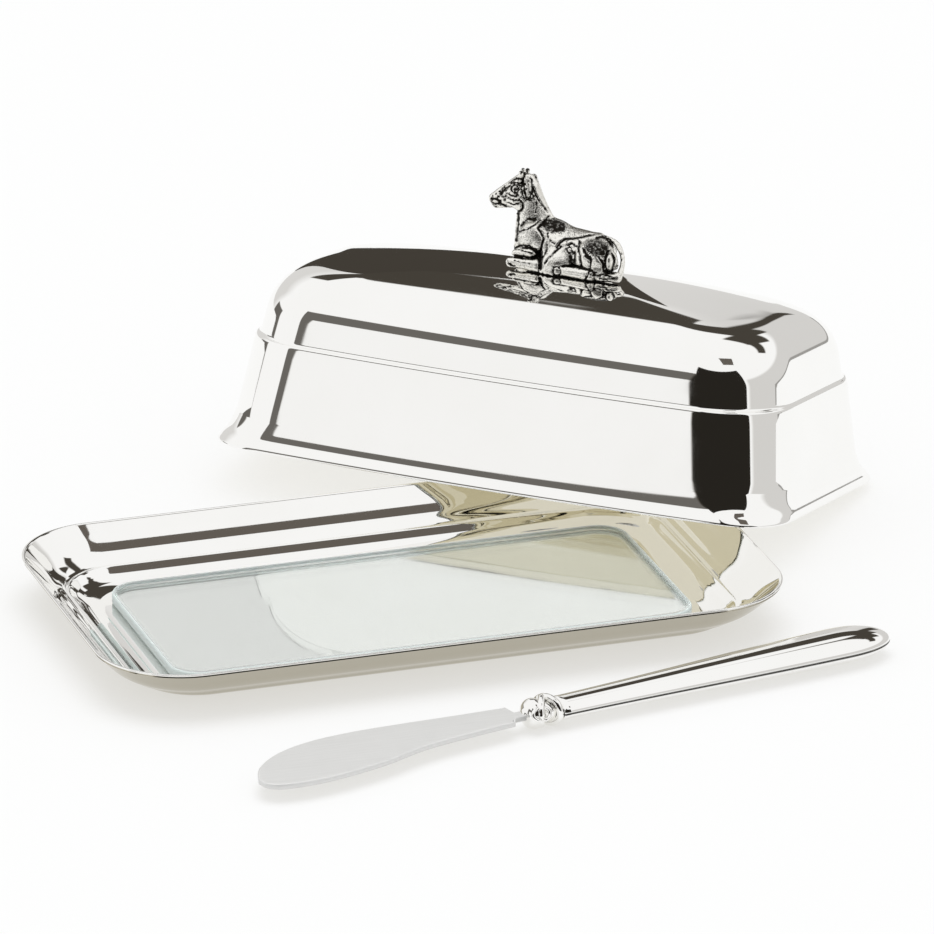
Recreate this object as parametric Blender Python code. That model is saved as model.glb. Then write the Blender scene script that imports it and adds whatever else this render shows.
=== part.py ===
"""Covered butter dish: tray, glass insert, domed cover with a calf finial, and a butter knife.

World frame: origin at the centre of the tray's base, X along the tray, Z up.
The cover leans on the tray's rim with its far edge on the table, and the knife
lies on the table in front of the tray.
"""
from math import cos, pi, radians, sin, sqrt

import bmesh
import bpy
from mathutils import Matrix, Vector

MM = 0.001
GAP = 0.3 * MM                      # clearance between touching pieces

# Tray: one pressed sheet with a flat base, a seat for the cover's lip and a flared rim
TRAY_LENGTH = 200 * MM
TRAY_WIDTH = 118.7 * MM
TRAY_HEIGHT = 14 * MM
TRAY_CORNER = 25 * MM
CORNER_CLOSING = 0.6                # how much tighter the tray's corners get per inset
SHEET = 1.0 * MM
SEAT_INSET = 11.5 * MM              # how far inside the rim the cover's lip sits
SEAT_HEIGHT = 4.9 * MM
WELL_INSET = 20 * MM                # edge of the flat floor that holds the glass

# Glass insert
GLASS_MARGIN = 3.5 * MM             # between the glass and the edge of the well floor
GLASS_THICKNESS = 3 * MM
GLASS_CORNER = 9 * MM
GLASS_EASE = 0.4 * MM               # width of its ground edges

# Cover, in its own frame: origin at the centre of its lip, X along it, Z up
COVER_LENGTH = TRAY_LENGTH - 2 * SEAT_INSET
COVER_WIDTH = 98 * MM
COVER_CORNER = 14.7 * MM
COVER_BOW = 4.2 * MM                # how far the long sides bulge
COVER_SHEET = 0.9 * MM
FLARE_HEIGHT = 9 * MM
FLARE_INSET = 2.6 * MM
BEAD_HEIGHT = 31.4 * MM             # the step half way up the wall
BEAD_INSET = 5.8 * MM
BEAD_STEP = 1.0 * MM
WALL_CORNER = 20 * MM
WALL_LEAN = radians(9)              # of the wall above the step
SHOULDER_START = 38.3 * MM
SHOULDER_INSET = 7.85 * MM
SHOULDER_END = 22.4 * MM            # inset where the shoulder runs into the domed top
SHOULDER_HEIGHT = 52.2 * MM
SHOULDER_PULL = 8 * MM              # length of the shoulder curve's two handles
CROWN = 4.3 * MM                    # rise of the domed top above its shoulder
COVER_TOP = SHOULDER_HEIGHT + CROWN
COVER_TURN = radians(-41.7)         # about Z, from the tray's long axis
COVER_TILT = radians(-8.95)         # about its own long axis: its near lip is on the tray's rim
COVER_CENTRE = (69.4 * MM, 80.7 * MM)

# Finial and its fixing, in the cover's frame
STUD_X = 4 * MM
STUD_RADIUS = 2 * MM
STUD_CLEARANCE = 2.3 * MM
STUD_IN_CALF = 4.5 * MM
CALF_BOTTOM = COVER_TOP + GAP
CALF_GRAIN = 1.4 * MM               # size of the mesh that joins the calf's limbs
LIMB_OVERHANG = 0.6                 # how far a limb runs past its ends, in mean radii
WASHER_RADIUS = 5.5 * MM
WASHER_THICKNESS = 0.8 * MM
WASHER_TOP = COVER_TOP - COVER_SHEET - 0.6 * MM
NUT_ACROSS_FLATS = 7 * MM
NUT_HEIGHT = 3.2 * MM

# Knife, in its own frame: origin at the blade's tip, X towards the handle's end
KNIFE_LENGTH = 203.6 * MM
KNIFE_AXIS_HEIGHT = 4.6 * MM
KNIFE_TIP = (-79.3 * MM, -111 * MM)
KNIFE_TURN = radians(11.8)
BLADE_THICKNESS = 1.6 * MM
BLADE_END = 84 * MM
COLLAR_START = 85.5 * MM
COLLAR_LENGTH = 10.5 * MM
COLLAR_RADIUS = 4.4 * MM
COLLAR_NECK = 2.9 * MM              # radius where it meets blade and handle
COLLAR_GROOVE = 0.27 * MM           # depth of the two grooves round it
COLLAR_FULLNESS = 0.6               # power of the bead's outline: less is fuller
COLLAR_WIDENING = 1.08              # its width over its height
HANDLE_START = COLLAR_START + COLLAR_LENGTH + GAP
HANDLE_NECK = (5.4 * MM, 2.9 * MM)  # half width and half height at the collar
HANDLE_WIDEST = (8.7 * MM, 4.2 * MM)
HANDLE_WIDEST_AT = KNIFE_LENGTH - 17 * MM
HANDLE_SHEET = 0.7 * MM
HANDLE_SWELL = 0.6                  # share of the widening that eases in and out; the rest is even
HANDLE_END_SQUARENESS = 2.4         # 2 for an elliptical end
HANDLE_END_FLAT = 0.05              # share of the widest section left at the very end
TANG_HALF_WIDTH = 2 * MM
TANG_END = 150 * MM
FILLER_END = KNIFE_LENGTH - 8 * MM

CORNER_STEPS = 7                    # segments round each rounded corner
LONG_STEPS = 9                      # segments along each bowed long side
SHORT_STEPS = 4

MATERIALS = {
    "silver": ((0.93, 0.92, 0.89), 0.06, 1.0),
    "old_silver": ((0.62, 0.60, 0.55), 0.32, 1.0),
    "steel": ((0.72, 0.72, 0.71), 0.30, 1.0),
    "glass": ((0.82, 0.95, 0.92), 0.03, 0.0),
    "cement": ((0.45, 0.41, 0.36), 0.85, 0.0),
}


def clear_scene():
    for item in list(bpy.data.objects):
        bpy.data.objects.remove(item, do_unlink=True)


def material(name):
    """The named Principled material, made on first use."""
    if name in bpy.data.materials:
        return bpy.data.materials[name]
    colour, roughness, metallic = MATERIALS[name]
    made = bpy.data.materials.new(name)
    made.use_nodes = True
    shader = made.node_tree.nodes["Principled BSDF"]
    shader.inputs["Base Color"].default_value = (*colour, 1)
    shader.inputs["Roughness"].default_value = roughness
    shader.inputs["Metallic"].default_value = metallic
    return made


def add_object(name, bm, finish, parent=None, smooth=True):
    """Turn a bmesh into a named object, with its faces out."""
    bmesh.ops.recalc_face_normals(bm, faces=bm.faces)
    mesh = bpy.data.meshes.new(name)
    bm.to_mesh(mesh)
    bm.free()
    if finish:
        mesh.materials.append(material(finish))
    if smooth:
        mesh.shade_smooth()
    made = bpy.data.objects.new(name, mesh)
    bpy.context.collection.objects.link(made)
    made.parent = parent
    return made


def add_frame(name, location, rotation):
    frame = bpy.data.objects.new(name, None)
    bpy.context.collection.objects.link(frame)
    frame.location = location
    frame.rotation_euler = rotation
    return frame


def cutter(name, bm, parent=None):
    """A helper solid for a Boolean, hidden from renders."""
    helper = add_object(name, bm, None, parent, smooth=False)
    helper.hide_render = True
    helper.display_type = "WIRE"
    return helper


def boolean(target, helper, operation="DIFFERENCE"):
    modifier = target.modifiers.new("Boolean", "BOOLEAN")
    modifier.operation = operation
    modifier.solver = "EXACT"
    modifier.object = helper


def outline(length, width, corner, bow=0.0):
    """Points round a rounded rectangle whose long sides bulge by bow."""
    half_x = length / 2
    half_y = width / 2 - bow
    points = []
    for quarter in range(4):
        sign_x = 1 if quarter in (0, 3) else -1
        sign_y = 1 if quarter in (0, 1) else -1
        centre = (sign_x * (half_x - corner), sign_y * (half_y - corner))
        for step in range(CORNER_STEPS + 1):
            angle = pi / 2 * (quarter + step / CORNER_STEPS)
            points.append((centre[0] + corner * cos(angle), centre[1] + corner * sin(angle)))
        along_x = quarter in (0, 2)
        steps = LONG_STEPS if along_x else SHORT_STEPS
        run = 2 * (half_x - corner) if along_x else 2 * (half_y - corner)
        start = points[-1]
        for step in range(1, steps):
            shift = run * step / steps
            if along_x:
                points.append((start[0] - sign_x * shift, start[1]))
            else:
                points.append((start[0], start[1] - sign_y * shift))
    return [(x, y + bow * (y / half_y) * (1 - (x / half_x) ** 2)) for x, y in points]


def loft(rings):
    """A closed solid through rings of points, capped at both ends."""
    bm = bmesh.new()
    loops = [[bm.verts.new(point) for point in ring] for ring in rings]
    count = len(loops[0])
    for lower, upper in zip(loops, loops[1:]):
        for index in range(count):
            after = (index + 1) % count
            bm.faces.new((lower[index], lower[after], upper[after], upper[index]))
    caps = [bm.faces.new(loops[0]), bm.faces.new(loops[-1])]
    bmesh.ops.triangulate(bm, faces=caps)
    return bm


def offset_profile(profile, distance):
    """The (inset, height) profile moved sideways by distance, to its left."""
    moved = []
    for index, (inset, height) in enumerate(profile):
        before = profile[max(index - 1, 0)]
        after = profile[min(index + 1, len(profile) - 1)]
        run = after[0] - before[0]
        rise = after[1] - before[1]
        size = sqrt(run * run + rise * rise)
        moved.append((inset - distance * rise / size, height + distance * run / size))
    return moved


def tray_profile():
    """(inset, height) down the tray's upper surface, from its rim to its floor."""
    rim = [(0, TRAY_HEIGHT), (0.9 * MM, TRAY_HEIGHT - 0.1 * MM)]
    slope = [(3.2 * MM, 11.5 * MM), (6.4 * MM, 8.2 * MM), (9.3 * MM, 6.0 * MM)]
    seat = [(SEAT_INSET - 1.1 * MM, SEAT_HEIGHT), (SEAT_INSET + 0.9 * MM, SEAT_HEIGHT - 0.3 * MM)]
    well = [(SEAT_INSET + 3.0 * MM, 2.8 * MM), (WELL_INSET - 3.0 * MM, SHEET + 0.5 * MM)]
    return rim + slope + seat + well + [(WELL_INSET, SHEET)]


def rect_ring(length, width, corner, inset, height, bow=0.0):
    shape = outline(length - 2 * inset, width - 2 * inset, corner, bow)
    return [(x, y, height) for x, y in shape]


def make_tray():
    upper = tray_profile()
    lower = offset_profile(upper, -SHEET)
    lower[0] = (0, TRAY_HEIGHT - SHEET)
    lower[-1] = (WELL_INSET, 0)
    rings = []
    for inset, height in upper[::-1] + lower:
        corner = TRAY_CORNER - CORNER_CLOSING * inset
        rings.append(rect_ring(TRAY_LENGTH, TRAY_WIDTH, corner, inset, height))
    return add_object("tray", loft(rings), "silver")


def make_glass():
    inset = WELL_INSET + GLASS_MARGIN
    length = TRAY_LENGTH - 2 * inset
    width = TRAY_WIDTH - 2 * inset
    bottom = SHEET + GAP
    heights = (bottom, bottom + GLASS_THICKNESS)
    glass = add_object("glass_insert", loft([rect_ring(length, width, GLASS_CORNER, 0, z) for z in heights]),
                       "glass", smooth=False)
    edge = glass.modifiers.new("Bevel", "BEVEL")
    edge.width = GLASS_EASE
    edge.segments = 1
    edge.limit_method = "ANGLE"
    return glass


def cover_wall():
    """(inset, height) up the cover's outer face, from its lip to the start of its shoulder."""
    lip = [(0, 0), (0.25 * MM, 0.8 * MM), (1.1 * MM, 2.6 * MM), (2.0 * MM, 5.2 * MM),
           (FLARE_INSET, FLARE_HEIGHT)]
    wall = [(BEAD_INSET - 0.1 * MM, BEAD_HEIGHT - 0.9 * MM), (BEAD_INSET + 0.1 * MM, BEAD_HEIGHT),
            (BEAD_INSET + BEAD_STEP, BEAD_HEIGHT + 0.7 * MM)]
    return lip + wall + [(SHOULDER_INSET, SHOULDER_START)]


def cover_corner(inset):
    grown = COVER_CORNER + (WALL_CORNER - COVER_CORNER) * min(inset / FLARE_INSET, 1)
    return min(grown, COVER_WIDTH / 2 - COVER_BOW - inset - MM)


def cover_ring(inset, height):
    return rect_ring(COVER_LENGTH, COVER_WIDTH, cover_corner(inset), inset, height, COVER_BOW)


def crown_slopes(edge):
    """How steeply the domed top leaves each point of its edge."""
    slopes = []
    for index, (x, y, _) in enumerate(edge):
        before = edge[index - 1]
        after = edge[(index + 1) % len(edge)]
        outward = Vector((after[1] - before[1], before[0] - after[0])).normalized()
        slopes.append(2 * CROWN / outward.dot(Vector((x, y))))
    return slopes


def shoulder_rings(start, end, pull, steps):
    """Rings of a curve that leaves the wall along its lean and runs smoothly into the domed top."""
    slopes = crown_slopes(cover_ring(*end))
    rings = []
    for step in range(1, steps + 1):
        t = step / steps
        weights = ((1 - t) ** 3, 3 * (1 - t) ** 2 * t, 3 * (1 - t) * t * t, t ** 3)
        insets = (start[0], start[0] + pull * sin(WALL_LEAN), end[0] - pull, end[0])
        inset = sum(weight * value for weight, value in zip(weights, insets))
        ring = []
        for (x, y, _), slope in zip(cover_ring(inset, 0), slopes):
            heights = (start[1], start[1] + pull * cos(WALL_LEAN), end[1] - pull * slope, end[1])
            ring.append((x, y, sum(weight * value for weight, value in zip(weights, heights))))
        rings.append(ring)
    return rings


def cover_rings(wall, drop):
    """Rings up one face of the cover's wall and shoulder and over its domed top."""
    rings = [cover_ring(inset, height) for inset, height in wall]
    rings += shoulder_rings(wall[-1], (SHOULDER_END, SHOULDER_HEIGHT - drop), SHOULDER_PULL - drop / 2, 8)
    edge = rings[-1]
    for scale in (0.82, 0.64, 0.46, 0.28, 0.12):
        height = SHOULDER_HEIGHT - drop + CROWN * (1 - scale * scale)
        rings.append([(x * scale, y * scale, height) for x, y, _ in edge])
    return rings


def make_cover(frame):
    outer = cover_wall()
    inner = offset_profile(outer, -COVER_SHEET)
    inner[0] = (COVER_SHEET, 0)
    rings = cover_rings(outer, 0)[::-1] + cover_rings(inner, COVER_SHEET)
    cover = add_object("cover_shell", loft(rings), "silver", frame)
    boolean(cover, stud_hole("hole_in_cover", COVER_TOP - 6 * MM, COVER_TOP + 4 * MM, frame))


def upright_bar(bottom, top, radius, sides=24):
    """A bar standing at the stud's place on the cover's long axis."""
    bm = bmesh.new()
    bmesh.ops.create_cone(bm, cap_ends=True, segments=sides, radius1=radius, radius2=radius,
                          depth=top - bottom)
    bmesh.ops.translate(bm, verts=bm.verts, vec=(STUD_X, 0, (top + bottom) / 2))
    return bm


def stud_hole(name, bottom, top, frame):
    return cutter(name, upright_bar(bottom, top, STUD_CLEARANCE), frame)


def make_fixing(frame):
    """The stud that holds the finial, with its washer and nut under the cover."""
    washer_bottom = WASHER_TOP - WASHER_THICKNESS
    nut_top = washer_bottom - GAP
    nut_bottom = nut_top - NUT_HEIGHT
    stud = upright_bar(nut_bottom - 0.8 * MM, CALF_BOTTOM + STUD_IN_CALF - GAP, STUD_RADIUS)
    add_object("finial_stud", stud, "steel", frame, smooth=False)
    ring = upright_bar(washer_bottom, WASHER_TOP, WASHER_RADIUS)
    washer = add_object("finial_washer", ring, "steel", frame, smooth=False)
    boolean(washer, stud_hole("hole_in_washer", washer_bottom - MM, WASHER_TOP + MM, frame))
    block = upright_bar(nut_bottom, nut_top, NUT_ACROSS_FLATS / 2 / cos(pi / 6), sides=6)
    nut = add_object("finial_nut", block, "steel", frame, smooth=False)
    boolean(nut, stud_hole("hole_in_nut", nut_bottom - MM, nut_top + MM, frame))


def blob(bm, start, end, radius_start, radius_end, flat=1.0):
    """A rounded limb between two points: an egg along the line, narrowed across Y by flat."""
    start = Vector(start) * MM
    end = Vector(end) * MM
    line = end - start
    made = bmesh.ops.create_uvsphere(bm, u_segments=20, v_segments=12, radius=1.0)["verts"]
    turn = Vector((0, 0, 1)).rotation_difference(line.normalized()).to_matrix()
    for vert in made:
        point = vert.co.copy()
        share = (point.z + 1) / 2
        radius = (radius_start + (radius_end - radius_start) * share) * MM
        point.x *= radius
        point.y *= radius
        point.z *= line.length / 2 + (radius_start + radius_end) / 2 * MM * LIMB_OVERHANG
        point = turn @ point + (start + end) / 2
        middle = (start.y + end.y) / 2
        point.y = middle + (point.y - middle) * flat
        vert.co = point


def make_calf(frame):
    """A cast calf lying down, facing -X, its head raised."""
    floor = CALF_BOTTOM / MM
    bm = bmesh.new()
    blob(bm, (-5, 0, floor + 9), (13, 0, floor + 7.5), 7.6, 7.2)              # barrel
    blob(bm, (-8.5, 0, floor + 7), (-6.5, 0, floor + 12), 5.6, 5.4)           # chest
    blob(bm, (14, 0, floor + 6), (16, 0, floor + 8), 7.0, 6.4)                # rump
    blob(bm, (-6, 0, floor + 13), (-11, 0, floor + 22.5), 4.6, 3.2)           # neck
    blob(bm, (-10.6, 0, floor + 24), (-18.6, 0, floor + 17.6), 3.7, 2.5)      # head
    for side in (-1, 1):
        blob(bm, (-10.2, side * 1.6, floor + 26.2), (-9.4, side * 3.4, floor + 27.4), 1.3, 1.4)  # ears
        blob(bm, (-15, side * 4.5, floor + 2), (-3, side * 5.5, floor + 2.2), 2.2, 2.4)         # forelegs
        blob(bm, (9, side * 6.0, floor + 3.4), (16, side * 5.8, floor + 5.6), 4.0, 4.2)         # thighs
        blob(bm, (4, side * 7.0, floor + 1.9), (15, side * 7.2, floor + 1.9), 1.9, 2.0)         # hocks
    calf = add_object("calf_finial", bm, "old_silver", frame)
    skin = calf.modifiers.new("Remesh", "REMESH")
    skin.mode = "VOXEL"
    skin.voxel_size = CALF_GRAIN
    below = bmesh.new()
    size = 60 * MM
    bmesh.ops.create_cube(below, size=size, matrix=Matrix.Translation((0, 0, CALF_BOTTOM - size / 2)))
    boolean(calf, cutter("below_calf", below, frame))
    boolean(calf, stud_hole("hole_in_calf", CALF_BOTTOM - MM, CALF_BOTTOM + STUD_IN_CALF, frame))


def catmull(points, steps):
    """A smooth open curve through the points."""
    ends = [points[0], *points, points[-1]]
    curve = []
    for p0, p1, p2, p3 in zip(ends, ends[1:], ends[2:], ends[3:]):
        for step in range(steps):
            t = step / steps
            curve.append(tuple(0.5 * (2 * b + (c - a) * t + (2 * a - 5 * b + 4 * c - d) * t * t
                                      + (3 * b - a - 3 * c + d) * t ** 3)
                               for a, b, c, d in zip(p0, p1, p2, p3)))
    curve.append(points[-1])
    return curve


def make_blade(frame):
    """The spreader blade and the tang that runs into the handle, cut from one bar."""
    spine = catmull([(0.4, -4.5), (4.5, 2.6), (13, 8.7), (24, 12.0), (37, 12.4), (52, 10.8), (68, 8.4),
                     (BLADE_END / MM, 6.2)], 3)
    edge = catmull([(81, -4.4), (73, -4.7), (53, -6.4), (36, -10.7), (18, -12.7), (6, -11.4), (1.2, -8.6),
                    (0.4, -4.5)], 3)[:-1]
    tang = [(TANG_END / MM, TANG_HALF_WIDTH / MM), (TANG_END / MM, -TANG_HALF_WIDTH / MM)]
    neck = [(BLADE_END / MM, TANG_HALF_WIDTH / MM)]
    heel = [(82.5, -TANG_HALF_WIDTH / MM)]
    shape = [(x * MM, y * MM) for x, y in spine + neck + tang + heel + edge]
    half = BLADE_THICKNESS / 2
    blade = add_object("knife_blade", loft([[(x, y, z) for x, y in shape] for z in (-half, half)]),
                       "steel", frame, smooth=False)
    return blade


def spindle(stations, sides, shrink=0.0):
    """A solid along X through (x, half width, half height) stations with elliptical sections."""
    rings = []
    for x, half_width, half_height in stations:
        ring = []
        for index in range(sides):
            angle = 2 * pi * index / sides
            ring.append((x, (half_width - shrink) * cos(angle), (half_height - shrink) * sin(angle)))
        rings.append(ring)
    return loft(rings)


def handle_stations(start, end):
    """(x, half width, half height) along the handle, widest near its rounded end."""
    taper = HANDLE_WIDEST_AT - HANDLE_START
    tip = KNIFE_LENGTH - HANDLE_WIDEST_AT
    places = [HANDLE_START + taper * step / 6 for step in range(7)]
    places += [HANDLE_WIDEST_AT + tip * sin(pi / 2 * step / 7) for step in range(1, 8)]
    stations = []
    for x in places:
        if not start <= x <= end:
            continue
        share = min((x - HANDLE_START) / taper, 1)
        swell = HANDLE_SWELL * share * share * (3 - 2 * share) + (1 - HANDLE_SWELL) * share
        beyond = max(x - HANDLE_WIDEST_AT, 0) / tip
        close = max(sqrt(max(1 - beyond ** HANDLE_END_SQUARENESS, 0)), HANDLE_END_FLAT)
        stations.append((x, *((neck + (widest - neck) * swell) * close
                              for neck, widest in zip(HANDLE_NECK, HANDLE_WIDEST))))
    return stations


def tang_slot():
    """What the tang needs inside the collar, the half shells and the cement."""
    bm = bmesh.new()
    size = (TANG_END + GAP, 2 * (TANG_HALF_WIDTH + GAP), BLADE_THICKNESS + 2 * GAP)
    place = Matrix.Translation((size[0] / 2, 0, 0))
    bmesh.ops.create_cube(bm, size=1, matrix=place @ Matrix.Diagonal((*size, 1)))
    return bm


def make_handle(frame):
    """Two pressed half shells, joined along the handle's edges, round a cement filling."""
    stations = handle_stations(HANDLE_START, KNIFE_LENGTH)
    hollow_end = KNIFE_LENGTH - 3 * MM
    for name, side in (("knife_handle_top_shell", 1), ("knife_handle_bottom_shell", -1)):
        shell = add_object(name, spindle(stations, 28), "silver", frame)
        hollow = [(HANDLE_START - MM, *stations[0][1:])] + [s for s in stations if s[0] < hollow_end]
        boolean(shell, cutter(f"hollow_in_{name}", spindle(hollow, 28, HANDLE_SHEET), frame))
        half = bmesh.new()
        block = 1.5 * KNIFE_LENGTH
        centre = (KNIFE_LENGTH / 2, 0, side * (block / 2 + GAP / 2))
        bmesh.ops.create_cube(half, size=block, matrix=Matrix.Translation(centre))
        boolean(shell, cutter(f"half_for_{name}", half, frame), "INTERSECT")
    filling = handle_stations(HANDLE_START, FILLER_END)
    filler = add_object("knife_handle_filler", spindle(filling, 28, HANDLE_SHEET + GAP), "cement", frame)
    boolean(filler, cutter("slot_in_filler", tang_slot(), frame))


def make_collar(frame):
    """The cast collar between blade and handle: a bead with two grooves round it."""
    steps = 16
    stations = []
    for step in range(steps + 1):
        share = step / steps
        bead = max(sin(pi * share), 0) ** COLLAR_FULLNESS
        groove = COLLAR_GROOVE * (1 - cos(4 * pi * share)) / 2
        radius = COLLAR_NECK + (COLLAR_RADIUS - COLLAR_NECK) * bead - groove
        stations.append((COLLAR_START + COLLAR_LENGTH * share, COLLAR_WIDENING * radius, radius))
    collar = add_object("knife_collar", spindle(stations, 28), "silver", frame)
    boolean(collar, cutter("slot_in_collar", tang_slot(), frame))


def main():
    clear_scene()
    make_tray()
    make_glass()
    far_edge_drop = COVER_WIDTH / 2 * sin(-COVER_TILT)
    cover_frame = add_frame("cover_frame", (*COVER_CENTRE, far_edge_drop), (COVER_TILT, 0, COVER_TURN))
    make_cover(cover_frame)
    make_fixing(cover_frame)
    make_calf(cover_frame)
    knife_frame = add_frame("knife_frame", (*KNIFE_TIP, KNIFE_AXIS_HEIGHT), (0, 0, KNIFE_TURN))
    make_blade(knife_frame)
    make_collar(knife_frame)
    make_handle(knife_frame)


main()
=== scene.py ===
"""Looks of the covered butter dish: polished silver, glass, an antiqued calf and a butter knife."""

from math import cos, pi, radians, sin, sqrt

import bmesh
import bpy
import numpy as np
from mathutils import Matrix, Vector


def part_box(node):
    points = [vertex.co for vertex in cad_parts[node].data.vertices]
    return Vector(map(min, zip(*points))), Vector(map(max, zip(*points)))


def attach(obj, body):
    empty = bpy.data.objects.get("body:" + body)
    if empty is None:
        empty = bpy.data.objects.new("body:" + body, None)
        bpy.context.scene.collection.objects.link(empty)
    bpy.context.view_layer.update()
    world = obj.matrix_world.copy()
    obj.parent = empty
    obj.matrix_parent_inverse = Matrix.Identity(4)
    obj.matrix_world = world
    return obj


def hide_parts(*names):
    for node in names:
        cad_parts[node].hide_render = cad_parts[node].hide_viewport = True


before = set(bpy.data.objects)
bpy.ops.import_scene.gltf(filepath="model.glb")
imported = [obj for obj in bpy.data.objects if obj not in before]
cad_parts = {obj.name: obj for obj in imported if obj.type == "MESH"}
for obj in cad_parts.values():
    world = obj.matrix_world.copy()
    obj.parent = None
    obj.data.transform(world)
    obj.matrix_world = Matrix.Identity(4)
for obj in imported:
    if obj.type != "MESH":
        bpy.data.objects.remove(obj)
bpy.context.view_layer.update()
MM = 0.001


def size_of(node):
    low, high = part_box(node)
    return high - low


def middle_of(node):
    low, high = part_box(node)
    return (low + high) / 2


# ---------------------------------------------------------------- sizes, from the frame where it gives them

TRAY_LENGTH, TRAY_WIDTH, TRAY_HEIGHT = size_of("tray")
TRAY_CORNER = 25 * MM
CORNER_CLOSING = 0.6                 # how much the corner's radius shrinks for each mm further in
SHEET = 1 * MM
SEAT_INSET = 11.5 * MM
SEAT_HEIGHT = 4.9 * MM
WELL_INSET = 20 * MM
GLASS_CORNER = 9 * MM
GLASS_EASE = 0.45 * MM

COVER_LENGTH = TRAY_LENGTH - 2 * SEAT_INSET
COVER_WIDTH = 98 * MM
COVER_CORNER = 14.7 * MM
COVER_BOW = 4.2 * MM
COVER_SHEET = 0.9 * MM
FLARE_HEIGHT = 9 * MM
FLARE_INSET = 2.6 * MM
BEAD_HEIGHT = 31.4 * MM
BEAD_INSET = 5.8 * MM
WALL_CORNER = 20 * MM
WALL_LEAN = radians(9)
SHOULDER_START = 38.3 * MM
SHOULDER_INSET = 7.85 * MM
SHOULDER_END = 22.4 * MM
SHOULDER_HEIGHT = 52.2 * MM
SHOULDER_PULL = 8 * MM
CROWN = 4.3 * MM
COVER_TOP = SHOULDER_HEIGHT + CROWN
COVER_TURN = radians(-41.7)
COVER_TILT = radians(-8.95)
STUD_X = 4 * MM
STUD_CLEARANCE = 2.3 * MM
SOCKET_DEPTH = 4.5          # mm of the stud's hole in the calf

KNIFE_TURN = radians(11.8)
KNIFE_LENGTH = 203.6 * MM
COLLAR_START = 85.5 * MM
COLLAR_LENGTH = 10.5 * MM
COLLAR_RADIUS = 4.4 * MM
COLLAR_NECK = 3 * MM               # radius behind its bead
TANG_RADIUS = 1.5 * MM
HANDLE_START = COLLAR_START + COLLAR_LENGTH + 0.3 * MM
BLADE_THICKNESS = size_of("knife_blade").z
BLADE_END = 84 * MM
BLADE_GAP = 0.04 * MM                # keeps the finer blade inside the CAD model's box
TANG_HALF_WIDTH = 2 * MM
TANG_END = 150 * MM
HANDLE_NECK = (5.4 * MM, 2.9 * MM)   # half width and half height at the collar
HANDLE_WIDEST = (8.7 * MM, 4.2 * MM)
HANDLE_WIDEST_AT = KNIFE_LENGTH - 17 * MM
HANDLE_SHEET = 0.7 * MM
HANDLE_SWELL = 0.6                   # share of the widening that eases in and out; the rest is even
HANDLE_END_SQUARENESS = 2.4          # 2 for an elliptical end
HANDLE_END_FLAT = 0.05               # share of the widest section left at the very end
HALF_GAP = 0.15 * MM                 # half of the gap between the handle's two shells
END_GAP = 0.16 * MM                  # keeps the finer handle and
SIDE_SHARE = 0.994                   # its sides inside the CAD model's box


def cover_place():
    """The cover's own frame: origin at its lip's centre, leaning on the tray's rim."""
    centre = middle_of("cover_shell")
    lift = COVER_WIDTH / 2 * sin(-COVER_TILT)
    place = Matrix.Translation((centre.x, centre.y, lift))
    return place @ Matrix.Rotation(COVER_TURN, 4, "Z") @ Matrix.Rotation(COVER_TILT, 4, "X")


def knife_place():
    """The knife's own frame: origin at the blade's tip, X towards the handle's end."""
    centre = middle_of("knife_collar")
    along = Vector((cos(KNIFE_TURN), sin(KNIFE_TURN), 0))
    tip = centre - along * (COLLAR_START + COLLAR_LENGTH / 2)
    return Matrix.Translation(tip) @ Matrix.Rotation(KNIFE_TURN, 4, "Z")


# ---------------------------------------------------------------- shapes

MERGE = 0.001 * MM
CORNER_STEPS = 22
LONG_STEPS = 44
SHORT_STEPS = 20


def outline(length, width, corner, bow=0.0):
    """Points round a rounded rectangle whose long sides bulge by bow."""
    half_x = length / 2
    half_y = width / 2 - bow
    points = []
    for quarter in range(4):
        sign_x = 1 if quarter in (0, 3) else -1
        sign_y = 1 if quarter in (0, 1) else -1
        centre = (sign_x * (half_x - corner), sign_y * (half_y - corner))
        for step in range(CORNER_STEPS + 1):
            angle = pi / 2 * (quarter + step / CORNER_STEPS)
            points.append((centre[0] + corner * cos(angle), centre[1] + corner * sin(angle)))
        along_x = quarter in (0, 2)
        steps = LONG_STEPS if along_x else SHORT_STEPS
        run = 2 * (half_x - corner) if along_x else 2 * (half_y - corner)
        start = points[-1]
        for step in range(1, steps):
            shift = run * step / steps
            if along_x:
                points.append((start[0] - sign_x * shift, start[1]))
            else:
                points.append((start[0], start[1] - sign_y * shift))
    return [(x, y + bow * (y / half_y) * (1 - (x / half_x) ** 2)) for x, y in points]


def add_to_scene(name, data):
    """A new object in the scene that shows the data."""
    made = bpy.data.objects.new(name, data)
    bpy.context.scene.collection.objects.link(made)
    return made


def new_object(name, bm, body, material, place=None, replaces=()):
    """A smooth-shaded piece from a bmesh, riding on its CAD body."""
    bmesh.ops.recalc_face_normals(bm, faces=bm.faces)
    if place:
        bmesh.ops.transform(bm, matrix=place, verts=bm.verts)
    mesh = bpy.data.meshes.new(name)
    bm.to_mesh(mesh)
    bm.free()
    mesh.shade_smooth()
    mesh.materials.append(material)
    piece = add_to_scene(name, mesh)
    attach(piece, body)
    if replaces:
        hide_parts(*replaces)
    return piece


def add_rings(bm, rings):
    """Skins rings of points with equal counts; gives the rings' vertices."""
    loops = [[bm.verts.new(point) for point in ring] for ring in rings]
    count = len(loops[0])
    for lower, upper in zip(loops, loops[1:]):
        for index in range(count):
            after = (index + 1) % count
            bm.faces.new((lower[index], lower[after], upper[after], upper[index]))
    return loops


def loft(rings, capped=True):
    """A surface through rings of points with equal counts."""
    bm = bmesh.new()
    loops = add_rings(bm, rings)
    if capped:
        bm.faces.new(loops[0])
        bm.faces.new(loops[-1])
    return bm


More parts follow.
